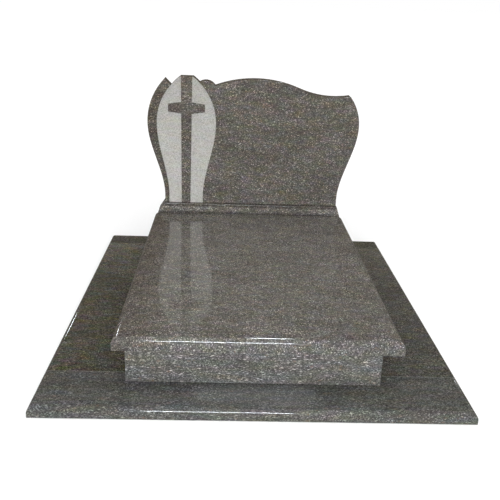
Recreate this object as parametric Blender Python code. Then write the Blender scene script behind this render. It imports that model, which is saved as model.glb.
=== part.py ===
"""A polished granite grave set: headstone, plinth, ledger, kerb box and flat surround.

Metres, +Z up. The origin is the middle of the surround's underside, and +Y points
from the foot of the grave to the headstone. Run it in Blender 4.5.
"""

import math

import bmesh
import bpy

# Fit between two stones that touch
JOINT = 0.0003

# Surround: four flat strips laid on the ground
SURROUND_WIDTH = 1.50
SURROUND_DEPTH = 1.77
SURROUND_THICKNESS = 0.040
SURROUND_NOSING = 0.024
STRIP_BEARING = 0.016

# Kerb box: four upright walls on the surround
KERB_WIDTH = 0.90
KERB_HEIGHT = 0.145
KERB_WALL = 0.050
KERB_FRONT_MARGIN = 0.174
KERB_BACK_MARGIN = 0.080

# Ledger: the flat slab over the kerb box, laid a little to the right of its middle
LEDGER_OVERHANG = 0.050
LEDGER_THICKNESS = 0.050
LEDGER_NOSING = 0.026
LEDGER_SHIFT = 0.012

# Plinth: the block that carries the headstone. Its ends lean in to the headstone's foot
PLINTH_WIDTH = 0.970
PLINTH_DEPTH = 0.125
PLINTH_RISE = 0.052
PLINTH_OVERHANG = 0.015
PLINTH_ARRIS = 0.006
PLINTH_END_MARGIN = 0.003

# Headstone: heights are above its own foot, widths and offsets from its middle
STONE_SHIFT = 0.020
STONE_THICKNESS = 0.080
STONE_SETBACK = 0.020
STONE_ARRIS = 0.003
FOOT_HALF_WIDTH = 0.456
WIDEST_HALF_WIDTH = 0.545
WAIST_HEIGHT = 0.038
WIDEST_HEIGHT = 0.422
LEFT_SHOULDER_RADIUS = 0.315
RIGHT_SHOULDER_RADIUS = 0.250

# Top line, left to right: horn, straight fall, petal, low hump, wide arch, scoop, horn
LEFT_HORN_HEIGHT = 0.640
LEFT_FALL_SLOPE = 1.0
HUMP_HEIGHT = 0.635
HUMP_OFFSET = -0.249
HUMP_RADIUS = 0.060
ARCH_HEIGHT = 0.649
ARCH_OFFSET = 0.010
ARCH_RADIUS = 0.600
SCOOP_HEIGHT = 0.572
SCOOP_OFFSET = 0.410

# Petal: the frosted field round the cross, about an upright axis of its own
PETAL_OFFSET = -0.3455
PETAL_FOOT_HALF_WIDTH = 0.0885
PETAL_WIDEST_HALF_WIDTH = 0.152
PETAL_WIDEST_HEIGHT = 0.418
PETAL_ARC_RADIUS = 0.290
PETAL_TOP_HEIGHT = 0.653
PETAL_DEPTH = 0.003

# Cross: left standing in the petal, wider at its head than at its foot
CROSS_FOOT_HALF_WIDTH = 0.023
CROSS_HEAD_HALF_WIDTH = 0.0285
ARM_HALF_SPAN = 0.0935
ARM_HEIGHT = 0.497
ARM_HALF_DEPTH = 0.0295
ARM_END_HALF_DEPTH = 0.0195

# Fineness of the round stretches
NOSING_STEPS = 7
ARRIS_STEPS = 3
SIDE_STEPS = 18
SHOULDER_STEPS = 10
TOP_STEPS = 16
HUMP_STEPS = 6

# Lines and levels that follow from the sizes above
SURROUND_FRONT = -SURROUND_DEPTH / 2
SURROUND_BACK = SURROUND_DEPTH / 2
KERB_FRONT = SURROUND_FRONT + KERB_FRONT_MARGIN
KERB_BACK = SURROUND_BACK - KERB_BACK_MARGIN
FRONT_JOINT = KERB_FRONT + KERB_WALL + STRIP_BEARING
BACK_JOINT = KERB_BACK - KERB_WALL - STRIP_BEARING
SIDE_STRIP_INSIDE = KERB_WIDTH / 2 - KERB_WALL - STRIP_BEARING
KERB_FOOT = SURROUND_THICKNESS + JOINT
KERB_TOP = KERB_FOOT + KERB_HEIGHT
LEDGER_FOOT = KERB_TOP + JOINT
LEDGER_TOP = LEDGER_FOOT + LEDGER_THICKNESS
LEDGER_HALF_WIDTH = KERB_WIDTH / 2 + LEDGER_OVERHANG
PLINTH_BACK = KERB_BACK + PLINTH_OVERHANG
PLINTH_FRONT = PLINTH_BACK - PLINTH_DEPTH
PLINTH_TOP = LEDGER_TOP + PLINTH_RISE
STONE_FOOT = PLINTH_TOP + JOINT
STONE_FRONT = PLINTH_FRONT + STONE_SETBACK

GRANITE_COLOR = (0.095, 0.090, 0.086)
GRANITE_ROUGHNESS = 0.16
SMOOTH_ANGLE = math.radians(30)
HALVINGS = 40
CUTTER_MARGIN = 0.010
CUTTER_SPREAD = 0.5


def clear_scene():
    for old in list(bpy.data.objects):
        bpy.data.objects.remove(old)


def make_granite():
    granite = bpy.data.materials.new("polished_granite")
    granite.use_nodes = True
    shader = granite.node_tree.nodes["Principled BSDF"]
    shader.inputs["Base Color"].default_value = (*GRANITE_COLOR, 1.0)
    shader.inputs["Roughness"].default_value = GRANITE_ROUGHNESS
    shader.inputs["Metallic"].default_value = 0.0
    return granite


def add_object(name, form, granite):
    """Turns the bmesh into a named object with its granite."""
    mesh = bpy.data.meshes.new(name)
    form.to_mesh(mesh)
    form.free()
    stone = bpy.data.objects.new(name, mesh)
    bpy.context.scene.collection.objects.link(stone)
    mesh.materials.append(granite)
    mesh.shade_smooth()
    mesh.set_sharp_from_angle(angle=SMOOTH_ANGLE)
    return stone


def extrude_outline(form, outline, front, back):
    """Adds a closed body to the bmesh: the outline at the front, drawn back to the back."""
    face = form.faces.new([form.verts.new((x, front, z)) for x, z in outline])
    drawn = bmesh.ops.extrude_face_region(form, geom=[face])["geom"]
    moved = [item for item in drawn if isinstance(item, bmesh.types.BMVert)]
    bmesh.ops.translate(form, verts=moved, vec=(0, back - front, 0))
    bmesh.ops.recalc_face_normals(form, faces=form.faces)


def block(name, granite, low, high, rounded=(), radius=0.0):
    """A stone from its low to its high corner, its top edges rounded on the sides named."""
    form = bmesh.new()
    bmesh.ops.create_cube(form, size=1.0)
    for vert in form.verts:
        vert.co = [a if c < 0 else b for a, b, c in zip(low, high, vert.co)]
    side_lines = {
        "front": (1, low[1]),
        "back": (1, high[1]),
        "left": (0, low[0]),
        "right": (0, high[0]),
    }

    def on_rounded_side(edge):
        ends = [vert.co for vert in edge.verts]
        if any(abs(end.z - high[2]) > JOINT for end in ends):
            return False
        lines = [side_lines[side] for side in rounded]
        return any(all(abs(end[axis] - line) < JOINT for end in ends) for axis, line in lines)

    edges = [edge for edge in form.edges if on_rounded_side(edge)]
    if edges:
        bmesh.ops.bevel(
            form, geom=edges, offset=radius, offset_type="OFFSET", segments=NOSING_STEPS,
            profile=0.5, affect="EDGES",
        )
    return add_object(name, form, granite)


def make_surround(granite):
    """Front and back strips run the full width, and the side strips butt between them."""
    half = SURROUND_WIDTH / 2
    top = SURROUND_THICKNESS
    nosing = SURROUND_NOSING
    block("surround_front", granite, (-half, SURROUND_FRONT, 0), (half, FRONT_JOINT, top),
          ("front", "left", "right"), nosing)
    block("surround_back", granite, (-half, BACK_JOINT, 0), (half, SURROUND_BACK, top),
          ("back", "left", "right"), nosing)
    near, far = FRONT_JOINT + JOINT, BACK_JOINT - JOINT
    block("surround_left", granite, (-half, near, 0), (-SIDE_STRIP_INSIDE, far, top),
          ("left",), nosing)
    block("surround_right", granite, (SIDE_STRIP_INSIDE, near, 0), (half, far, top),
          ("right",), nosing)


def make_kerb(granite):
    """The front and back walls cover the ends of the side walls."""
    half = KERB_WIDTH / 2
    inside = half - KERB_WALL
    near, far = KERB_FRONT + KERB_WALL, KERB_BACK - KERB_WALL
    block("kerb_front", granite, (-half, KERB_FRONT, KERB_FOOT), (half, near, KERB_TOP))
    block("kerb_back", granite, (-half, far, KERB_FOOT), (half, KERB_BACK, KERB_TOP))
    near, far = near + JOINT, far - JOINT
    block("kerb_left", granite, (-half, near, KERB_FOOT), (-inside, far, KERB_TOP))
    block("kerb_right", granite, (inside, near, KERB_FOOT), (half, far, KERB_TOP))


def make_ledger(granite):
    left, right = LEDGER_SHIFT - LEDGER_HALF_WIDTH, LEDGER_SHIFT + LEDGER_HALF_WIDTH
    front, back = KERB_FRONT - LEDGER_OVERHANG, PLINTH_FRONT - JOINT
    block("ledger", granite, (left, front, LEDGER_FOOT), (right, back, LEDGER_TOP),
          ("front", "left", "right"), LEDGER_NOSING)


def make_plinth(granite):
    """Upright up to the ledger's top, from where its ends lean in to the headstone's foot."""
    left, right = LEDGER_SHIFT - PLINTH_WIDTH / 2, LEDGER_SHIFT + PLINTH_WIDTH / 2
    top_half = FOOT_HALF_WIDTH + PLINTH_END_MARGIN
    form = bmesh.new()
    extrude_outline(form, [
        (left, LEDGER_FOOT),
        (left, LEDGER_TOP),
        (STONE_SHIFT - top_half, PLINTH_TOP),
        (STONE_SHIFT + top_half, PLINTH_TOP),
        (right, LEDGER_TOP),
        (right, LEDGER_FOOT),
    ], PLINTH_FRONT, PLINTH_BACK)

    def on_front_above_foot(edge):
        ends = [vert.co for vert in edge.verts]
        on_front = all(abs(end.y - PLINTH_FRONT) < JOINT for end in ends)
        return on_front and any(end.z > LEDGER_TOP - JOINT for end in ends)

    edges = [edge for edge in form.edges if on_front_above_foot(edge)]
    bmesh.ops.bevel(
        form, geom=edges, offset=PLINTH_ARRIS, offset_type="OFFSET", segments=ARRIS_STEPS,
        profile=0.5, affect="EDGES",
    )
    add_object("plinth", form, granite)


def between(start, end, steps):
    return [start + (end - start) * step / steps for step in range(steps + 1)]


def crossing(first, second, low, high):
    """The value between low and high where the two curves meet, by halving."""
    low_sign = first(low) > second(low)
    for _ in range(HALVINGS):
        middle = (low + high) / 2
        if (first(middle) > second(middle)) == low_sign:
            low = middle
        else:
            high = middle
    return low


def s_curve(height, end_height, foot_value, end_value):
    """Goes from the foot's value at the waist to the end's value, level at both ends."""
    share = (height - WAIST_HEIGHT) / (end_height - WAIST_HEIGHT)
    share = min(max(share, 0.0), 1.0)
    return foot_value + (end_value - foot_value) * share * share * (3 - 2 * share)


def arc_half_width(height, widest_height, widest, radius):
    rise = min(height - widest_height, radius)
    return widest - radius + math.sqrt(radius * radius - rise * rise)


def stone_half_width(height, shoulder_radius):
    if height <= WIDEST_HEIGHT:
        return s_curve(height, WIDEST_HEIGHT, FOOT_HALF_WIDTH, WIDEST_HALF_WIDTH)
    return arc_half_width(height, WIDEST_HEIGHT, WIDEST_HALF_WIDTH, shoulder_radius)


def petal_half_width(height):
    """The petal narrows upwards, and its tip is never narrower than the head of the cross."""
    if height <= PETAL_WIDEST_HEIGHT:
        return s_curve(height, PETAL_WIDEST_HEIGHT, PETAL_FOOT_HALF_WIDTH,
                       PETAL_WIDEST_HALF_WIDTH)
    half = arc_half_width(min(height, PETAL_TOP_HEIGHT), PETAL_WIDEST_HEIGHT,
                          PETAL_WIDEST_HALF_WIDTH, PETAL_ARC_RADIUS)
    return max(half, CROSS_HEAD_HALF_WIDTH)


def cross_half_width(height):
    share = height / PETAL_TOP_HEIGHT
    return CROSS_FOOT_HALF_WIDTH + (CROSS_HEAD_HALF_WIDTH - CROSS_FOOT_HALF_WIDTH) * share


def petal_top(offset):
    """The height of the petal's edge over this offset, up to where its tip is cut level."""
    inward = PETAL_WIDEST_HALF_WIDTH - abs(offset - PETAL_OFFSET)
    across = PETAL_ARC_RADIUS - min(max(inward, 0.0), PETAL_ARC_RADIUS)
    height = PETAL_WIDEST_HEIGHT + math.sqrt(PETAL_ARC_RADIUS**2 - across * across)
    return min(height, PETAL_TOP_HEIGHT)


def left_fall(offset):
    run = offset + stone_half_width(LEFT_HORN_HEIGHT, LEFT_SHOULDER_RADIUS)
    return LEFT_HORN_HEIGHT - LEFT_FALL_SLOPE * run


def arc_top(offset, centre, height, radius):
    run = min(abs(offset - centre), radius)
    return height - radius + math.sqrt(radius * radius - run * run)


def hump_top(offset):
    return arc_top(offset, HUMP_OFFSET, HUMP_HEIGHT, HUMP_RADIUS)


def arch_top(offset):
    return arc_top(offset, ARCH_OFFSET, ARCH_HEIGHT, ARCH_RADIUS)


def scoop_radius_and_meeting():
    """The scoop's radius, and the offset where it takes over from the arch with no corner."""
    drop, run = ARCH_HEIGHT - SCOOP_HEIGHT, SCOOP_OFFSET - ARCH_OFFSET
    both_radii = (run * run + drop * drop) / (2 * drop)
    return both_radii - ARCH_RADIUS, ARCH_OFFSET + ARCH_RADIUS * run / both_radii


def scoop_top(offset):
    radius, _ = scoop_radius_and_meeting()
    return 2 * SCOOP_HEIGHT - arc_top(offset, SCOOP_OFFSET, SCOOP_HEIGHT, radius)


def notches():
    """Offsets of the two notches beside the petal's tip."""
    left = crossing(petal_top, left_fall, PETAL_OFFSET - PETAL_WIDEST_HALF_WIDTH, PETAL_OFFSET)
    right = crossing(petal_top, hump_top, PETAL_OFFSET, HUMP_OFFSET)
    return left, right


def stone_outline():
    """The headstone from the front, from its left foot over the top to its right foot."""
    heights = [0.0] + between(WAIST_HEIGHT, WIDEST_HEIGHT, SIDE_STEPS)
    heights += between(WIDEST_HEIGHT, LEFT_HORN_HEIGHT, SHOULDER_STEPS)[1:]
    outline = [(-stone_half_width(z, LEFT_SHOULDER_RADIUS), z) for z in heights]

    left_notch, right_notch = notches()
    tip = petal_half_width(PETAL_TOP_HEIGHT)
    for x in between(left_notch, PETAL_OFFSET - tip, HUMP_STEPS):
        outline.append((x, petal_top(x)))
    for x in between(PETAL_OFFSET + tip, right_notch, HUMP_STEPS):
        outline.append((x, petal_top(x)))

    dip = crossing(hump_top, arch_top, HUMP_OFFSET, HUMP_OFFSET + HUMP_RADIUS)
    _, meeting = scoop_radius_and_meeting()
    horn_height = crossing(
        lambda z: scoop_top(stone_half_width(z, RIGHT_SHOULDER_RADIUS)), lambda z: z,
        WIDEST_HEIGHT, ARCH_HEIGHT,
    )
    horn = stone_half_width(horn_height, RIGHT_SHOULDER_RADIUS)
    outline += [(x, hump_top(x)) for x in between(right_notch, dip, HUMP_STEPS)[1:]]
    outline += [(x, arch_top(x)) for x in between(dip, meeting, TOP_STEPS)[1:]]
    outline += [(x, scoop_top(x)) for x in between(meeting, horn, TOP_STEPS)[1:]]

    heights = between(horn_height, WIDEST_HEIGHT, SHOULDER_STEPS)[1:]
    heights += between(WIDEST_HEIGHT, WAIST_HEIGHT, SIDE_STEPS)[1:] + [0.0]
    return outline + [(stone_half_width(z, RIGHT_SHOULDER_RADIUS), z) for z in heights]


def petal_side_outline(side):
    """The ground of the petal on one side of the cross, run past the stone's edge."""
    notch = PETAL_OFFSET - notches()[0] if side < 0 else notches()[1] - PETAL_OFFSET
    notch_height = petal_top(PETAL_OFFSET + side * notch)
    heights = [-CUTTER_MARGIN] + between(WAIST_HEIGHT, PETAL_WIDEST_HEIGHT, SIDE_STEPS)
    heights += between(PETAL_WIDEST_HEIGHT, notch_height, SHOULDER_STEPS)[1:]
    heights += between(notch_height, PETAL_TOP_HEIGHT, HUMP_STEPS)[1:]
    heights.append(PETAL_TOP_HEIGHT + CUTTER_MARGIN)
    edge = []
    for height in heights:
        spread = max(height - notch_height, 0.0) * CUTTER_SPREAD
        edge.append((petal_half_width(height) + min(spread, CUTTER_MARGIN), height))

    arm_top, arm_foot = ARM_HEIGHT + ARM_HALF_DEPTH, ARM_HEIGHT - ARM_HALF_DEPTH
    edge += [
        (cross_half_width(heights[-1]), heights[-1]),
        (cross_half_width(arm_top), arm_top),
        (ARM_HALF_SPAN, ARM_HEIGHT + ARM_END_HALF_DEPTH),
        (ARM_HALF_SPAN, ARM_HEIGHT - ARM_END_HALF_DEPTH),
        (cross_half_width(arm_foot), arm_foot),
        (cross_half_width(heights[0]), heights[0]),
    ]
    return [(PETAL_OFFSET + side * across, height) for across, height in edge]


def placed(outline):
    """The same outline, moved from the headstone's own foot and middle to its place."""
    return [(STONE_SHIFT + x, STONE_FOOT + z) for x, z in outline]


def make_petal_cutter(granite):
    form = bmesh.new()
    for side in (-1, 1):
        front, floor = STONE_FRONT - CUTTER_MARGIN, STONE_FRONT + PETAL_DEPTH
        extrude_outline(form, placed(petal_side_outline(side)), front, floor)
    cutter = add_object("petal_cutter", form, granite)
    cutter.hide_render = True
    cutter.display_type = "WIRE"
    return cutter


def make_headstone(granite):
    form = bmesh.new()
    extrude_outline(form, placed(stone_outline()), STONE_FRONT, STONE_FRONT + STONE_THICKNESS)
    arrises = [edge for edge in form.edges if abs(edge.verts[0].co.y - edge.verts[1].co.y) < JOINT]
    bmesh.ops.bevel(
        form, geom=arrises, offset=STONE_ARRIS, offset_type="OFFSET", segments=ARRIS_STEPS,
        profile=0.5, affect="EDGES", clamp_overlap=True,
    )
    stone = add_object("headstone", form, granite)
    cut = stone.modifiers.new("petal", "BOOLEAN")
    cut.operation = "DIFFERENCE"
    cut.solver = "EXACT"
    cut.object = make_petal_cutter(granite)


clear_scene()
polished_granite = make_granite()
make_surround(polished_granite)
make_kerb(polished_granite)
make_ledger(polished_granite)
make_plinth(polished_granite)
make_headstone(polished_granite)
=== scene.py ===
import collections
import math

import bmesh
import bpy
from mathutils import Matrix, Vector


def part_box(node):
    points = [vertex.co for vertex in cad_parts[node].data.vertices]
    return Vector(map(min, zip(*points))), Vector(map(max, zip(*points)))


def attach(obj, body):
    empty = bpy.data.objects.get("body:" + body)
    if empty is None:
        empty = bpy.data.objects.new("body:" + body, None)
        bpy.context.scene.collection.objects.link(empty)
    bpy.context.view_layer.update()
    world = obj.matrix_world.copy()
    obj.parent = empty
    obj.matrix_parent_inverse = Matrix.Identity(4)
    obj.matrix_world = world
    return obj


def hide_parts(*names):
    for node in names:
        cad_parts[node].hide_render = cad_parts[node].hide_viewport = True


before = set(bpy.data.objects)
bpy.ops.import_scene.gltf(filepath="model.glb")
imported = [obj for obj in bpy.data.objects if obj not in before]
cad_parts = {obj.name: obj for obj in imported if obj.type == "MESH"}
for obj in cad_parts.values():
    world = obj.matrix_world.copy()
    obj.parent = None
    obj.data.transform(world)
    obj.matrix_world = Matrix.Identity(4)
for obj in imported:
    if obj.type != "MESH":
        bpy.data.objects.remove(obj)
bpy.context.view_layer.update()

bl_info = {
    "name": "Granite grave set",
    "version": (1, 0, 0),
    "blender": (4, 5, 0),
    "location": "3D View > Sidebar > Grave set",
    "description": "Finishes a grave set of dark polished granite with a frosted petal and a cross",
    "category": "Object",
}

# Lengths are in metres, colours are linear, and places are those of the frame.
BODY = "root"
EDGE_TOLERANCE = 0.0004
DOUBLES_DISTANCE = 0.00005
MOST_PETAL_DEPTH = 0.004
NOSING_STEPS = 14
PLINTH_ARRIS_STEPS = 8
SMOOTH_ANGLE = math.radians(32)
SHARP_ANGLE = math.radians(25)
HEADSTONE_LOW, HEADSTONE_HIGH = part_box("headstone")
LEDGER_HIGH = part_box("ledger")[1]

Block = collections.namedtuple("Block", "shift tint swing grain stretch streak fleck")

# Each block comes from another place in the quarry. Its pattern is read at the shift and coloured by
# the tint, and its hue swings by the swing. The tint is partly the block's own tone and partly
# painted light and shade for how light falls on each block. The grain is the width across one grain,
# stretch draws the grains out along the bed and streak draws the flecks out further, and fleck is how
# much the light flecks stand out.
BLOCKS = {
    "headstone": Block(
        shift=(0.0, 0.0, 0.0), tint=(0.97, 0.915, 0.845), swing=0.95,
        grain=0.0024, stretch=1.4, streak=1.3, fleck=1.0,
    ),
    "plinth": Block(
        shift=(3.1, 0.4, 0.7), tint=(1.20, 1.15, 1.09), swing=0.8,
        grain=0.0028, stretch=1.5, streak=1.3, fleck=1.0,
    ),
    "ledger": Block(
        shift=(5.3, 1.9, 0.2), tint=(1.19, 1.13, 1.06), swing=0.75,
        grain=0.0030, stretch=1.0, streak=1.0, fleck=1.0,
    ),
    "kerb_front": Block(
        shift=(7.7, 0.6, 1.1), tint=(1.08, 1.08, 1.06), swing=0.65,
        grain=0.0021, stretch=1.9, streak=2.5, fleck=0.9,
    ),
    "kerb_back": Block(
        shift=(9.2, 1.3, 2.3), tint=(1.00, 1.00, 0.97), swing=0.8,
        grain=0.0024, stretch=1.8, streak=2.0, fleck=0.9,
    ),
    "kerb_left": Block(
        shift=(11.4, 2.2, 0.9), tint=(1.00, 1.00, 0.96), swing=0.8,
        grain=0.0025, stretch=1.0, streak=1.0, fleck=0.9,
    ),
    "kerb_right": Block(
        shift=(13.6, 0.8, 1.7), tint=(1.00, 1.00, 0.96), swing=0.8,
        grain=0.0025, stretch=1.0, streak=1.0, fleck=0.9,
    ),
    "surround_front": Block(
        shift=(15.9, 1.7, 0.4), tint=(0.79, 0.80, 0.77), swing=0.8,
        grain=0.0020, stretch=1.8, streak=2.6, fleck=0.55,
    ),
    "surround_back": Block(
        shift=(17.3, 0.5, 1.5), tint=(0.68, 0.66, 0.57), swing=1.2,
        grain=0.0022, stretch=1.8, streak=2.6, fleck=0.7,
    ),
    "surround_left": Block(
        shift=(19.8, 2.8, 2.0), tint=(0.66, 0.635, 0.515), swing=2.0,
        grain=0.0030, stretch=1.2, streak=1.2, fleck=0.8,
    ),
    "surround_right": Block(
        shift=(21.2, 1.1, 0.6), tint=(0.70, 0.69, 0.63), swing=1.3,
        grain=0.0026, stretch=1.2, streak=1.2, fleck=0.8,
    ),
}

# The sides of each slab whose top edge is rounded.
NOSED_SIDES = {
    "ledger": ("front", "left", "right"),
    "surround_front": ("front", "left", "right"),
    "surround_back": ("back", "left", "right"),
    "surround_left": ("left",),
    "surround_right": ("right",),
}

# The camera of the photo: where it stands, how it is turned in radians, and its lens in mm.
CAMERA_PLACE = Vector((-0.11200, -2.84830, 1.31318))
CAMERA_YAW = 0.0383522
CAMERA_PITCH = 0.3464759
CAMERA_ROLL = 0.0374655
CAMERA_LENS = 49.84
SENSOR_WIDTH = 36.0

# The granite. A scale is how many times a pattern repeats in a metre, a share is the part of the
# cells that hold a crystal, and a core is where in its cell the crystal starts and ends to fade.
WANDERS = ((9.0, 0.030), (300.0, 0.0018))
GRAINS_TO_A_FLECK = 2.0
FLECK_SHARE = 0.12
FLECK_CORE = (0.10, 0.42)
FLECK_LIFT = 1.75
TAN_SHARE = 0.07
GREEN_SHARE = 0.12
CRYSTAL_CORE = (0.15, 0.60)
CRYSTAL_DEPTH = 0.30
BED_STRETCH = 2.2
HUE_SCALE = 42.0
HUE_SWING = (0.46, 0.38, 0.80)
CLOUD_SCALE = 13.0
CLOUD_SHADES = ((0.30, (0.84, 0.84, 0.84)), (0.70, (1.16, 1.16, 1.16)))
WEAR_SCALE = 35.0
WAVER_SCALE = 14.0
POLISHED_ROUGHNESS = (0.03, 0.08)
HONED_ROUGHNESS = 0.35
HONED_LIFT = 1.3
FROSTED_ROUGHNESS = 0.85
FROSTED_SWING = 0.35
FROSTED_TOOTH_SCALE = 900.0
# Painted shade on the frosted petal: paler towards its foot and darker towards its top.
FROSTED_PAINTED_SHADES = ((0.0, (1.11, 1.11, 1.11)), (1.0, (0.80, 0.80, 0.80)))
STONE_IOR = 1.5

# Shades of (share, shade) along a block, from the start of a stretch to its end, and how far in
# from the face such a stretch reaches.
# Painted shade on the plinth's front, from the ledger's top up to the plinth's top: darker at both
# joints, partly dark joints and partly painted shade, with a painted paler band across the front face
# between them. It reaches only a little way in from the front face.
PAINTED_SHADE_REACH, PAINTED_SHADE_END = 0.020, 0.030
JOINT_PAINTED_SHADE = (
    (0.00, (0.42, 0.42, 0.42)),
    (0.10, (0.62, 0.62, 0.62)),
    (0.30, (1.10, 1.10, 1.10)),
    (0.62, (1.20, 1.20, 1.19)),
    (0.76, (0.68, 0.66, 0.65)),
    (1.00, (0.60, 0.58, 0.57)),
)
DARK_LEFT_END = (
    (0.00, (0.77, 0.73, 0.70)),
    (0.30, (0.82, 0.79, 0.77)),
    (1.00, (1.00, 1.00, 1.00)),
)
DARK_END_REACH = 0.20
# Painted light on the headstone: paler towards its foot, where the ledger shades it, and a little
# darker higher up.
FOOT_PAINTED_LIGHT = (
    (0.00, (1.16, 1.16, 1.17)),
    (0.25, (1.04, 1.04, 1.04)),
    (0.55, (0.96, 0.96, 0.95)),
    (1.00, (1.00, 0.98, 0.97)),
)
COOL_FRONT = (
    (0.00, (0.90, 0.93, 0.98)),
    (1.00, (1.00, 1.00, 1.00)),
)
COOL_FRONT_REACH = 0.025

# Painted reflection: the side slabs are painted paler towards the back, standing in for something
# bright that they mirror there.
BACK_END_PAINTED_REFLECTIONS = {
    "surround_left": ((0.60, (1.06, 1.06, 1.08)), (1.00, (1.85, 1.85, 2.00))),
    "surround_right": ((0.60, (1.02, 1.01, 1.01)), (1.00, (1.45, 1.42, 1.38))),
}

# The stage: the light all round, the backdrop that the camera sees, the room that the polished
# faces mirror from the horizon up, and the floor, which glows a little more from near to far.
SKY_COLOUR = (0.92, 0.92, 0.92)
BACKDROP_COLOUR = (1.0, 1.0, 1.0)
ROOM_COLOURS = (
    (0.30, (0.10, 0.082, 0.062)),
    (0.40, (0.10, 0.086, 0.068)),
    (0.50, (0.09, 0.080, 0.065)),
    (0.80, (0.30, 0.30, 0.30)),
)
FLOOR_SEEN_IN_GLOSS = (0.15, 0.14, 0.13)
FLOOR_SIZE = 400.0
FLOOR_DROP = 0.0005
FLOOR_NEAR, FLOOR_FAR = 1.3, 3.8
FAR_FLOOR_GLOW = 0.17
DAYLIGHT = (0.86, 0.93, 1.00)


def length_setting(name, description, default):
    return bpy.props.FloatProperty(
        name=name, description=description, default=default, min=0.0, unit="LENGTH", precision=4,
    )


def colour_setting(name, description, default):
    return bpy.props.FloatVectorProperty(
        name=name, description=description, default=default, size=3, min=0.0, max=1.0,
        subtype="COLOR",
    )


class GraveSetSizes(bpy.types.PropertyGroup):
    """Sizes of the finish that a mason would choose."""

    ledger_nosing: length_setting(
        "Ledger nosing", "Radius of the ledger's rounded front and side edges", 0.026)
    plinth_arris: length_setting(
        "Plinth arris", "Radius of the plinth's rounded front edges", 0.006)
    surround_nosing: length_setting(
        "Surround nosing", "Radius of the surround's rounded outer edges", 0.024)
    arris: length_setting(
        "Arris", "Width of the small round polished on every sharp edge", 0.0012)
    crystal: length_setting(
        "Crystal", "Width across one of the larger tinted crystals", 0.009)


class GraveSetColours(bpy.types.PropertyGroup):
    """Colours of the minerals in the granite and of the floor."""

    dark: colour_setting("Dark grains", "Mica and hornblende", (0.035, 0.035, 0.034))
    middle: colour_setting("Middle grains", "Grey quartz", (0.082, 0.081, 0.078))
    light: colour_setting("Light grains", "Pale feldspar", (0.31, 0.305, 0.29))
    tan: colour_setting("Tan crystals", "Rust-tinted feldspar", (0.23, 0.15, 0.105))
    green: colour_setting("Green crystals", "Green-tinted feldspar", (0.075, 0.080, 0.060))
    frosted: colour_setting("Frosted ground", "Blasted face of the petal", (0.335, 0.330, 0.312))
    floor: colour_setting("Floor", "Plain pale floor", (0.94, 0.94, 0.94))


def deselect_all():
    for obj in bpy.context.selected_objects:
        obj.select_set(False)


def make_active(obj):
    """Leaves this object alone selected and active."""
    deselect_all()
    obj.select_set(True)
    bpy.context.view_layer.objects.active = obj


def add_node(tree, kind, inputs=None, **settings):
    """A new node. Each input is given a value or the output of another node."""
    node = tree.nodes.new(kind)
    for key, value in settings.items():
        setattr(node, key, value)
    for key, value in (inputs or {}).items():
        if isinstance(value, bpy.types.NodeSocket):
            tree.links.new(value, node.inputs[key])
        else:
            node.inputs[key].default_value = value
    return node


def opaque(colour):
    return (*colour, 1.0)


def add_math(tree, operation, first, second):
    return add_node(tree, "ShaderNodeMath", {0: first, 1: second}, operation=operation).outputs[0]


def add_ramp(tree, factor, stops, interpolation="LINEAR"):
    """A colour ramp through these stops of (place, colour)."""
    node = add_node(tree, "ShaderNodeValToRGB", {"Fac": factor})
    ramp = node.color_ramp
    ramp.interpolation = interpolation
    while len(ramp.elements) < len(stops):
        ramp.elements.new(0.5)
    for element, (place, colour) in zip(ramp.elements, stops):
        element.position = place
        element.color = opaque(colour)
    return node.outputs["Color"]


def add_mix(tree, factor, first, second, blend="MIX"):
    node = tree.nodes.new("ShaderNodeMix")
    node.data_type = "RGBA"
    node.blend_type = blend
    for index, value in ((0, factor), (6, first), (7, second)):
        if isinstance(value, bpy.types.NodeSocket):
            tree.links.new(value, node.inputs[index])
        else:
            node.inputs[index].default_value = value
    return node.outputs[2]


def new_material(name):
    """A new material, its node tree, and its shader, which is joined to the output."""
    material = bpy.data.materials.new(name)
    material.use_nodes = True
    tree = material.node_tree
    tree.nodes.clear()
    shader = tree.nodes.new("ShaderNodeBsdfPrincipled")
    output = tree.nodes.new("ShaderNodeOutputMaterial")
    tree.links.new(shader.outputs["BSDF"], output.inputs["Surface"])
    return material, tree, shader


def granite_place(tree, block):
    """Where the pattern is read: drawn out along the bed, and bent as the bed of the stone bends."""
    coordinates = tree.nodes.new("ShaderNodeTexCoord").outputs["Object"]
    place = add_node(
        tree, "ShaderNodeMapping",
        {"Vector": coordinates, "Location": block.shift, "Scale": (1 / block.stretch, 1.0, 1.0)},
    ).outputs["Vector"]
    for scale, reach in WANDERS:
        wander = add_node(
            tree, "ShaderNodeTexNoise", {"Vector": place, "Scale": scale, "Detail": 1.0},
        ).outputs["Color"]
        centred = add_node(
            tree, "ShaderNodeVectorMath", {0: wander, 1: (0.5, 0.5, 0.5)}, operation="SUBTRACT",
        ).outputs["Vector"]
        place = add_node(
            tree, "ShaderNodeVectorMath", {0: centred, 1: (reach,) * 3, 2: place},
            operation="MULTIPLY_ADD",
        ).outputs["Vector"]
    return place


def chosen_cells(tree, cells, channel, share, core):
    """How much of a sparse crystal is here: a share of the cells, each fading out from its middle."""
    chance = add_node(tree, "ShaderNodeSeparateColor", {"Color": cells.outputs["Color"]})
    chosen = add_math(tree, "GREATER_THAN", chance.outputs[channel], 1 - share)
    inner, outer = core
    middle = add_node(tree, "ShaderNodeMapRange", {
        "Value": cells.outputs["Distance"], "From Min": inner, "From Max": outer,
        "To Min": 1.0, "To Max": 0.0,
    }, interpolation_type="SMOOTHSTEP").outputs["Result"]
    return add_math(tree, "MULTIPLY", chosen, middle)


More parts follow.
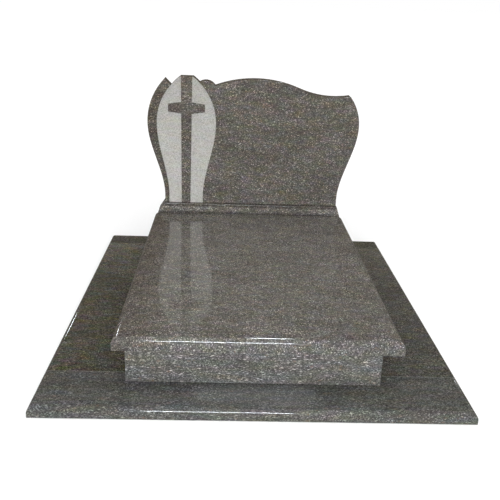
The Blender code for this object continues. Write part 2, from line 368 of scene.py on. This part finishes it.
def hue_cast(tree, bed, tint, swing):
    """A tint that wanders softly from brown over grey and purple to olive."""
    hue = add_node(
        tree, "ShaderNodeTexNoise", {"Vector": bed, "Scale": HUE_SCALE, "Detail": 1.5},
    ).outputs["Color"]
    change = Vector(part * most * swing for part, most in zip(tint, HUE_SWING))
    return add_node(
        tree, "ShaderNodeVectorMath",
        {0: hue, 1: change, 2: Vector(tint) - change / 2}, operation="MULTIPLY_ADD",
    ).outputs["Vector"]


def shaded(tree, colour, share, stops):
    """The colour made darker or paler by these stops of (share, shade)."""
    return add_mix(tree, 1.0, colour, add_ramp(tree, share, stops), "MULTIPLY")


def drawn_out(tree, place, factor):
    return add_node(
        tree, "ShaderNodeMapping", {"Vector": place, "Scale": (1 / factor, 1.0, 1.0)},
    ).outputs["Vector"]


def granite_colour(tree, place, block, sizes, colours, tint):
    """Fine grains of three minerals, light flecks, larger tinted crystals, and clouds over all."""
    grains = add_node(
        tree, "ShaderNodeTexVoronoi", {"Vector": place, "Scale": 1 / block.grain},
    ).outputs["Color"]
    pick = add_node(tree, "ShaderNodeSeparateColor", {"Color": grains}).outputs["Red"]
    middle = Vector(colours.middle)
    light = Vector(colours.light)
    colour = add_ramp(tree, pick, [
        (0.00, colours.dark),
        (0.30, middle * 0.7),
        (0.60, middle),
        (0.88, middle * 1.7),
        (1.00, light),
    ])
    flecks = add_node(
        tree, "ShaderNodeTexVoronoi",
        {
            "Vector": drawn_out(tree, place, block.streak),
            "Scale": 1 / (GRAINS_TO_A_FLECK * block.grain),
        },
    )
    amount = chosen_cells(tree, flecks, "Blue", FLECK_SHARE, FLECK_CORE)
    amount = add_math(tree, "MULTIPLY", amount, block.fleck)
    colour = add_mix(tree, amount, colour, opaque(light * FLECK_LIFT))
    crystals = add_node(
        tree, "ShaderNodeTexVoronoi", {"Vector": place, "Scale": 1 / sizes.crystal},
    )
    minerals = (("Red", colours.tan, TAN_SHARE), ("Green", colours.green, GREEN_SHARE))
    for channel, mineral, share in minerals:
        amount = chosen_cells(tree, crystals, channel, share, CRYSTAL_CORE)
        amount = add_math(tree, "MULTIPLY", amount, CRYSTAL_DEPTH)
        colour = add_mix(tree, amount, colour, opaque(mineral))
    bed = drawn_out(tree, place, BED_STRETCH)
    cast = hue_cast(tree, bed, tint, block.swing)
    colour = add_mix(tree, 1.0, colour, cast, "MULTIPLY")
    clouds = add_node(
        tree, "ShaderNodeTexNoise", {"Vector": bed, "Scale": CLOUD_SCALE, "Detail": 4.0},
    ).outputs["Fac"]
    return shaded(tree, colour, clouds, CLOUD_SHADES)


def share_along(tree, axis, start, end):
    """How far along an axis a point lies between two places, from 0 to 1."""
    places = tree.nodes.new("ShaderNodeTexCoord").outputs["Object"]
    place = add_node(tree, "ShaderNodeSeparateXYZ", {"Vector": places}).outputs[axis]
    return add_node(tree, "ShaderNodeMapRange", {
        "Value": place, "From Min": start, "From Max": end,
    }).outputs["Result"]


def shade_by_place(tree, colour, node):
    """The darker and paler parts painted over a block as a whole: a darker left end, painted light at
    the headstone's foot, a cooler ledger front, painted shade at the plinth's joints and painted
    reflections at the back ends of the side slabs.
    """
    low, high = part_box(node)
    if node in ("headstone", "ledger"):
        left_end = share_along(tree, "X", low.x, low.x + DARK_END_REACH)
        colour = shaded(tree, colour, left_end, DARK_LEFT_END)
    # Painted light: the headstone paler towards its foot.
    if node == "headstone":
        colour = shaded(tree, colour, share_along(tree, "Z", low.z, high.z), FOOT_PAINTED_LIGHT)
    if node == "ledger":
        behind = share_along(tree, "Y", low.y, low.y + COOL_FRONT_REACH)
        colour = shaded(tree, colour, behind, COOL_FRONT)
    # Painted shade at the plinth's joints and a painted paler band between them, on its front only.
    if node == "plinth":
        joint_shade = shaded(
            tree, colour, share_along(tree, "Z", LEDGER_HIGH.z, high.z), JOINT_PAINTED_SHADE)
        behind = share_along(tree, "Y", low.y + PAINTED_SHADE_REACH, low.y + PAINTED_SHADE_END)
        colour = add_mix(tree, behind, joint_shade, colour)
    # Painted reflections at the back ends of the side slabs.
    if node in BACK_END_PAINTED_REFLECTIONS:
        colour = shaded(tree, colour, share_along(tree, "Y", low.y, high.y), BACK_END_PAINTED_REFLECTIONS[node])
    return colour


def polished_granite(node, sizes, colours):
    """Polished granite: clear reflections that waver a little, as hand-finished stone gives."""
    block = BLOCKS[node]
    material, tree, shader = new_material(node + "_polished")
    place = granite_place(tree, block)
    colour = granite_colour(tree, place, block, sizes, colours, Vector(block.tint))
    colour = shade_by_place(tree, colour, node)
    tree.links.new(colour, shader.inputs["Base Color"])
    wear = add_node(
        tree, "ShaderNodeTexNoise", {"Vector": place, "Scale": WEAR_SCALE, "Detail": 2.0},
    ).outputs["Fac"]
    smoothest, roughest = POLISHED_ROUGHNESS
    gloss = add_node(tree, "ShaderNodeMapRange", {
        "Value": wear, "To Min": smoothest, "To Max": roughest,
    }).outputs["Result"]
    tree.links.new(gloss, shader.inputs["Roughness"])
    waver = add_node(
        tree, "ShaderNodeTexNoise", {"Vector": place, "Scale": WAVER_SCALE, "Detail": 0.0},
    ).outputs["Fac"]
    bump = add_node(tree, "ShaderNodeBump", {
        "Height": waver, "Strength": 0.20, "Distance": 0.0006,
    }).outputs["Normal"]
    tree.links.new(bump, shader.inputs["Normal"])
    shader.inputs["IOR"].default_value = STONE_IOR
    return material


def honed_granite(node, sizes, colours):
    """The same granite where only its arrises are eased: duller and paler."""
    block = BLOCKS[node]
    material, tree, shader = new_material(node + "_honed")
    place = granite_place(tree, block)
    colour = granite_colour(tree, place, block, sizes, colours, HONED_LIFT * Vector(block.tint))
    colour = shade_by_place(tree, colour, node)
    tree.links.new(colour, shader.inputs["Base Color"])
    shader.inputs["Roughness"].default_value = HONED_ROUGHNESS
    return material


def frosted_granite(node, colours):
    """Granite blasted matt and pale, with painted shade making it paler towards its foot and darker
    towards its top, the grains just showing through.
    """
    block = BLOCKS[node]
    material, tree, shader = new_material(node + "_frosted")
    place = granite_place(tree, block)
    grains = add_node(
        tree, "ShaderNodeTexVoronoi", {"Vector": place, "Scale": 1 / block.grain},
    ).outputs["Color"]
    pick = add_node(tree, "ShaderNodeSeparateColor", {"Color": grains}).outputs["Red"]
    pale = Vector(colours.frosted)
    colour = add_ramp(tree, pick, [(0.0, pale * 0.68), (0.5, pale), (1.0, pale * 1.30)])
    bed = drawn_out(tree, place, BED_STRETCH)
    cast = hue_cast(tree, bed, Vector((1.0, 1.0, 1.0)), FROSTED_SWING)
    colour = add_mix(tree, 1.0, colour, cast, "MULTIPLY")
    # Painted shade: paler towards the foot, darker towards the top.
    height = share_along(tree, "Z", HEADSTONE_LOW.z, HEADSTONE_HIGH.z)
    colour = shaded(tree, colour, height, FROSTED_PAINTED_SHADES)
    tree.links.new(colour, shader.inputs["Base Color"])
    shader.inputs["Roughness"].default_value = FROSTED_ROUGHNESS
    tooth = add_node(
        tree, "ShaderNodeTexNoise", {"Vector": place, "Scale": FROSTED_TOOTH_SCALE, "Detail": 2.0},
    ).outputs["Fac"]
    bump = add_node(tree, "ShaderNodeBump", {
        "Height": tooth, "Strength": 0.6, "Distance": 0.0004,
    }).outputs["Normal"]
    tree.links.new(bump, shader.inputs["Normal"])
    return material


def apply_modifier(obj, kind, **settings):
    make_active(obj)
    modifier = obj.modifiers.new(kind.title(), kind)
    for key, value in settings.items():
        setattr(modifier, key, value)
    bpy.ops.object.modifier_apply(modifier=modifier.name)


def dress(piece, *materials):
    piece.data.materials.clear()
    for material in materials:
        piece.data.materials.append(material)


def finish_piece(piece, node):
    """Lets the piece stand for the frame's node of the same stone."""
    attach(piece, BODY)
    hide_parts(node)


def select_top_edges(piece, sides, low, high):
    """In edit mode, selects the top edges along these sides."""
    lines = {"front": (1, low.y), "back": (1, high.y), "left": (0, low.x), "right": (0, high.x)}
    bpy.ops.mesh.select_mode(type="EDGE")
    form = bmesh.from_edit_mesh(piece.data)
    for edge in form.edges:
        ends = [vert.co for vert in edge.verts]
        on_top = all(abs(end.z - high.z) < EDGE_TOLERANCE for end in ends)
        on_side = any(
            all(abs(end[axis] - line) < EDGE_TOLERANCE for end in ends)
            for axis, line in (lines[side] for side in sides)
        )
        edge.select_set(on_top and on_side)
    bmesh.update_edit_mesh(piece.data)


def sawn_block(name, node):
    """A block as it comes from the saw, the size of its node, left in edit mode."""
    low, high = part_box(node)
    deselect_all()
    bpy.ops.mesh.primitive_cube_add(size=1.0, location=(low + high) / 2, scale=high - low)
    piece = bpy.context.active_object
    piece.name = name
    piece.data.name = name
    bpy.ops.object.transform_apply(location=True, rotation=True, scale=True)
    bpy.ops.object.mode_set(mode="EDIT")
    bpy.ops.mesh.select_all(action="DESELECT")
    return piece


def select_where(piece, mode, test):
    """In edit mode, selects the vertices or edges whose ends all pass the test."""
    bpy.ops.mesh.select_mode(type=mode)
    form = bmesh.from_edit_mesh(piece.data)
    for part in form.verts if mode == "VERT" else form.edges:
        ends = [part] if mode == "VERT" else part.verts
        part.select_set(all(test(end.co) for end in ends))
    form.select_flush_mode()
    bmesh.update_edit_mesh(piece.data)


def finish_block(context, piece, node):
    """Leaves edit mode, rounds and hones every sharp edge a little, and polishes the rest."""
    sizes, colours = context.scene.grave_sizes, context.scene.grave_colours
    bpy.ops.object.mode_set(mode="OBJECT")
    dress(piece, polished_granite(node, sizes, colours), honed_granite(node, sizes, colours))
    apply_modifier(
        piece, "BEVEL", width=sizes.arris, segments=3, limit_method="ANGLE",
        angle_limit=SHARP_ANGLE, use_clamp_overlap=True, material=1,
    )
    make_active(piece)
    bpy.ops.object.shade_smooth_by_angle(angle=SMOOTH_ANGLE)
    apply_modifier(piece, "WEIGHTED_NORMAL", keep_sharp=True)
    finish_piece(piece, node)


def make_block(context, node, nosing=0.0):
    """A block with its nosed edges, in its own granite."""
    piece = sawn_block(node + "_stone", node)
    if node in NOSED_SIDES:
        select_top_edges(piece, NOSED_SIDES[node], *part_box(node))
        bpy.ops.mesh.bevel(
            offset=nosing, segments=NOSING_STEPS, profile=0.5, affect="EDGES")
    finish_block(context, piece, node)


class GRAVE_OT_headstone(bpy.types.Operator):
    """Finish the headstone: round arrises, a frosted petal and the cross left polished in it"""

    bl_idname = "grave.headstone"
    bl_label = "Headstone"

    def execute(self, context):
        sizes, colours = context.scene.grave_sizes, context.scene.grave_colours
        piece = bpy.data.objects.new("headstone_stone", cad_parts["headstone"].data.copy())
        context.scene.collection.objects.link(piece)
        make_active(piece)
        bpy.ops.mesh.customdata_custom_splitnormals_clear()
        bpy.ops.object.mode_set(mode="EDIT")
        bpy.ops.mesh.select_all(action="SELECT")
        bpy.ops.mesh.remove_doubles(threshold=DOUBLES_DISTANCE)
        bpy.ops.mesh.dissolve_limited(angle_limit=math.radians(0.5))
        bpy.ops.mesh.tris_convert_to_quads(
            face_threshold=math.radians(2), shape_threshold=math.radians(180))
        bpy.ops.object.mode_set(mode="OBJECT")
        bpy.ops.object.shade_smooth_by_angle(angle=SMOOTH_ANGLE)
        apply_modifier(piece, "WEIGHTED_NORMAL", keep_sharp=True)
        dress(
            piece, polished_granite("headstone", sizes, colours),
            frosted_granite("headstone", colours),
        )
        finish_piece(piece, "headstone")
        front = HEADSTONE_LOW.y
        for face in piece.data.polygons:
            sunk = EDGE_TOLERANCE < face.center.y - front < MOST_PETAL_DEPTH
            face.material_index = int(sunk and face.normal.y < -0.99)
        return {"FINISHED"}


class GRAVE_OT_plinth(bpy.types.Operator):
    """Finish the block that carries the headstone: its ends lean in above the ledger"""

    bl_idname = "grave.plinth"
    bl_label = "Plinth"

    def execute(self, context):
        low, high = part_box("plinth")
        top = [
            vert.co.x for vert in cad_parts["plinth"].data.vertices
            if vert.co.z > high.z - EDGE_TOLERANCE
        ]
        piece = sawn_block("plinth_stone", "plinth")
        bpy.ops.mesh.select_all(action="SELECT")
        bpy.ops.mesh.bisect(plane_co=(0.0, 0.0, LEDGER_HIGH.z), plane_no=(0.0, 0.0, 1.0))
        for end, leaned_end in ((low.x, min(top)), (high.x, max(top))):
            select_where(piece, "VERT", lambda place, end=end: (
                abs(place.x - end) < EDGE_TOLERANCE and place.z > high.z - EDGE_TOLERANCE))
            bpy.ops.transform.translate(value=(leaned_end - end, 0.0, 0.0))
        select_where(piece, "EDGE", lambda place: (
            place.y < low.y + EDGE_TOLERANCE and place.z > LEDGER_HIGH.z - EDGE_TOLERANCE))
        form = bmesh.from_edit_mesh(piece.data)
        for edge in form.edges:
            if edge.select and all(vert.co.z < high.z - EDGE_TOLERANCE for vert in edge.verts):
                edge.select_set(False)
        bmesh.update_edit_mesh(piece.data)
        bpy.ops.mesh.bevel(
            offset=context.scene.grave_sizes.plinth_arris, segments=PLINTH_ARRIS_STEPS,
            profile=0.5, affect="EDGES")
        finish_block(context, piece, "plinth")
        return {"FINISHED"}


class GRAVE_OT_ledger(bpy.types.Operator):
    """Finish the flat slab that covers the kerb"""

    bl_idname = "grave.ledger"
    bl_label = "Ledger"

    def execute(self, context):
        nosing = context.scene.grave_sizes.ledger_nosing
        make_block(context, "ledger", nosing)
        return {"FINISHED"}


class GRAVE_OT_kerb(bpy.types.Operator):
    """Finish the four upright walls under the ledger"""

    bl_idname = "grave.kerb"
    bl_label = "Kerb"

    def execute(self, context):
        for node in ("kerb_front", "kerb_back", "kerb_left", "kerb_right"):
            make_block(context, node)
        return {"FINISHED"}


class GRAVE_OT_surround(bpy.types.Operator):
    """Finish the four flat strips on the ground"""

    bl_idname = "grave.surround"
    bl_label = "Surround"

    def execute(self, context):
        nosing = context.scene.grave_sizes.surround_nosing
        for node in ("surround_front", "surround_back", "surround_left", "surround_right"):
            make_block(context, node, nosing)
        return {"FINISHED"}


def add_lamp(name, place, target, width, height, power, mirrored=False):
    """A soft lamp that lights the stone or, where mirrored, only shows in its polished faces."""
    lamp = bpy.data.lights.new(name, "AREA")
    lamp.shape = "RECTANGLE"
    lamp.size = width
    lamp.size_y = height
    lamp.energy = power
    if mirrored:
        lamp.color = DAYLIGHT
    obj = bpy.data.objects.new(name, lamp)
    obj.location = place
    obj.rotation_euler = (Vector(target) - Vector(place)).to_track_quat("-Z", "Y").to_euler()
    obj.visible_diffuse = not mirrored
    obj.visible_glossy = mirrored
    bpy.context.scene.collection.objects.link(obj)


def add_camera():
    ahead = Vector((
        math.sin(CAMERA_YAW) * math.cos(CAMERA_PITCH),
        math.cos(CAMERA_YAW) * math.cos(CAMERA_PITCH),
        -math.sin(CAMERA_PITCH),
    ))
    level = Vector((math.cos(CAMERA_YAW), -math.sin(CAMERA_YAW), 0.0))
    above = level.cross(ahead)
    right = math.cos(CAMERA_ROLL) * level + math.sin(CAMERA_ROLL) * above
    up = -math.sin(CAMERA_ROLL) * level + math.cos(CAMERA_ROLL) * above
    turn = Matrix((right, up, -ahead)).transposed().to_4x4()
    data = bpy.data.cameras.new("photo_camera")
    data.sensor_width = SENSOR_WIDTH
    data.lens = CAMERA_LENS
    camera = bpy.data.objects.new("photo_camera", data)
    camera.matrix_world = Matrix.Translation(CAMERA_PLACE) @ turn
    bpy.context.scene.collection.objects.link(camera)
    bpy.context.scene.camera = camera


def add_world():
    """Pale soft light all round, and a dim brown room where the polished faces look."""
    world = bpy.data.worlds.new("room")
    world.use_nodes = True
    tree = world.node_tree
    tree.nodes.clear()
    direction = tree.nodes.new("ShaderNodeTexCoord").outputs["Generated"]
    height = add_node(tree, "ShaderNodeSeparateXYZ", {"Vector": direction}).outputs["Z"]
    room = add_ramp(tree, height, ROOM_COLOURS)
    above = add_math(tree, "GREATER_THAN", height, 0.0)
    room = add_mix(tree, above, opaque(FLOOR_SEEN_IN_GLOSS), room)
    ray = tree.nodes.new("ShaderNodeLightPath").outputs
    colour = add_mix(tree, ray["Is Glossy Ray"], opaque(SKY_COLOUR), room)
    colour = add_mix(tree, ray["Is Camera Ray"], colour, opaque(BACKDROP_COLOUR))
    light = add_node(tree, "ShaderNodeBackground", {"Color": colour, "Strength": 1.0})
    output = tree.nodes.new("ShaderNodeOutputWorld")
    tree.links.new(light.outputs["Background"], output.inputs["Surface"])
    bpy.context.scene.world = world


class GRAVE_OT_stage(bpy.types.Operator):
    """Lay the floor, hang the lamps and set the camera of the photo"""

    bl_idname = "grave.stage"
    bl_label = "Stage"

    def execute(self, context):
        deselect_all()
        bpy.ops.mesh.primitive_plane_add(size=FLOOR_SIZE, location=(0.0, 0.0, -FLOOR_DROP))
        floor = context.active_object
        floor.name = "floor"
        material, tree, shader = new_material("floor_pale")
        shader.inputs["Base Color"].default_value = opaque(context.scene.grave_colours.floor)
        shader.inputs["Roughness"].default_value = 1.0
        shader.inputs["Specular IOR Level"].default_value = 0.0
        shader.inputs["Emission Color"].default_value = opaque((1.0, 1.0, 1.0))
        places = tree.nodes.new("ShaderNodeTexCoord").outputs["Object"]
        reach = add_node(
            tree, "ShaderNodeVectorMath", {0: places}, operation="LENGTH").outputs["Value"]
        glow = add_node(tree, "ShaderNodeMapRange", {
            "Value": reach, "From Min": FLOOR_NEAR, "From Max": FLOOR_FAR, "To Max": FAR_FLOOR_GLOW,
        }, interpolation_type="SMOOTHSTEP").outputs["Result"]
        tree.links.new(glow, shader.inputs["Emission Strength"])
        floor.data.materials.append(material)
        floor.visible_glossy = False
        middle = (0.0, 0.0, 0.3)
        front = (0.0, -0.8, 0.2)
        add_lamp("top_softbox", (0.3, -0.4, 3.4), middle, 3.0, 3.0, 30.0)
        add_lamp("front_softbox", (0.2, -5.0, 1.3), middle, 3.0, 1.6, 215.0)
        add_lamp("far_window", (-0.20, -12.0, 8.9), front, 3.5, 0.45, 640.0, mirrored=True)
        add_lamp("far_pane", (1.65, -30.0, 18.25), front, 6.3, 1.05, 330.0, mirrored=True)
        add_lamp("ceiling_lamp", (0.88, 3.5, 4.5), front, 0.78, 0.5, 170.0, mirrored=True)
        add_lamp("left_door", (-8.24, 16.1, 5.05), front, 0.7, 0.5, 42.0, mirrored=True)
        add_lamp("right_door", (10.7, 14.2, 4.92), front, 0.7, 0.5, 42.0, mirrored=True)
        add_world()
        add_camera()
        context.scene.view_settings.view_transform = "Standard"
        return {"FINISHED"}


OPERATORS = (
    GRAVE_OT_headstone,
    GRAVE_OT_plinth,
    GRAVE_OT_ledger,
    GRAVE_OT_kerb,
    GRAVE_OT_surround,
    GRAVE_OT_stage,
)


class GRAVE_PT_set(bpy.types.Panel):
    """Lists the sizes, colours and pieces of the grave set"""

    bl_label = "Grave set"
    bl_idname = "GRAVE_PT_set"
    bl_space_type = "VIEW_3D"
    bl_region_type = "UI"
    bl_category = "Grave set"

    def draw(self, context):
        layout = self.layout
        for group in (context.scene.grave_sizes, context.scene.grave_colours):
            box = layout.box()
            for name in group.__annotations__:
                box.prop(group, name)
        column = layout.column()
        for operator in OPERATORS:
            column.operator(operator.bl_idname)


CLASSES = (GraveSetSizes, GraveSetColours, *OPERATORS, GRAVE_PT_set)


def register():
    for entry in CLASSES:
        bpy.utils.register_class(entry)
    bpy.types.Scene.grave_sizes = bpy.props.PointerProperty(type=GraveSetSizes)
    bpy.types.Scene.grave_colours = bpy.props.PointerProperty(type=GraveSetColours)


def unregister():
    del bpy.types.Scene.grave_sizes
    del bpy.types.Scene.grave_colours
    for entry in reversed(CLASSES):
        bpy.utils.unregister_class(entry)


def main():
    register()
    bpy.ops.grave.headstone()
    bpy.ops.grave.plinth()
    bpy.ops.grave.ledger()
    bpy.ops.grave.kerb()
    bpy.ops.grave.surround()
    bpy.ops.grave.stage()


if __name__ == "__main__":
    main()
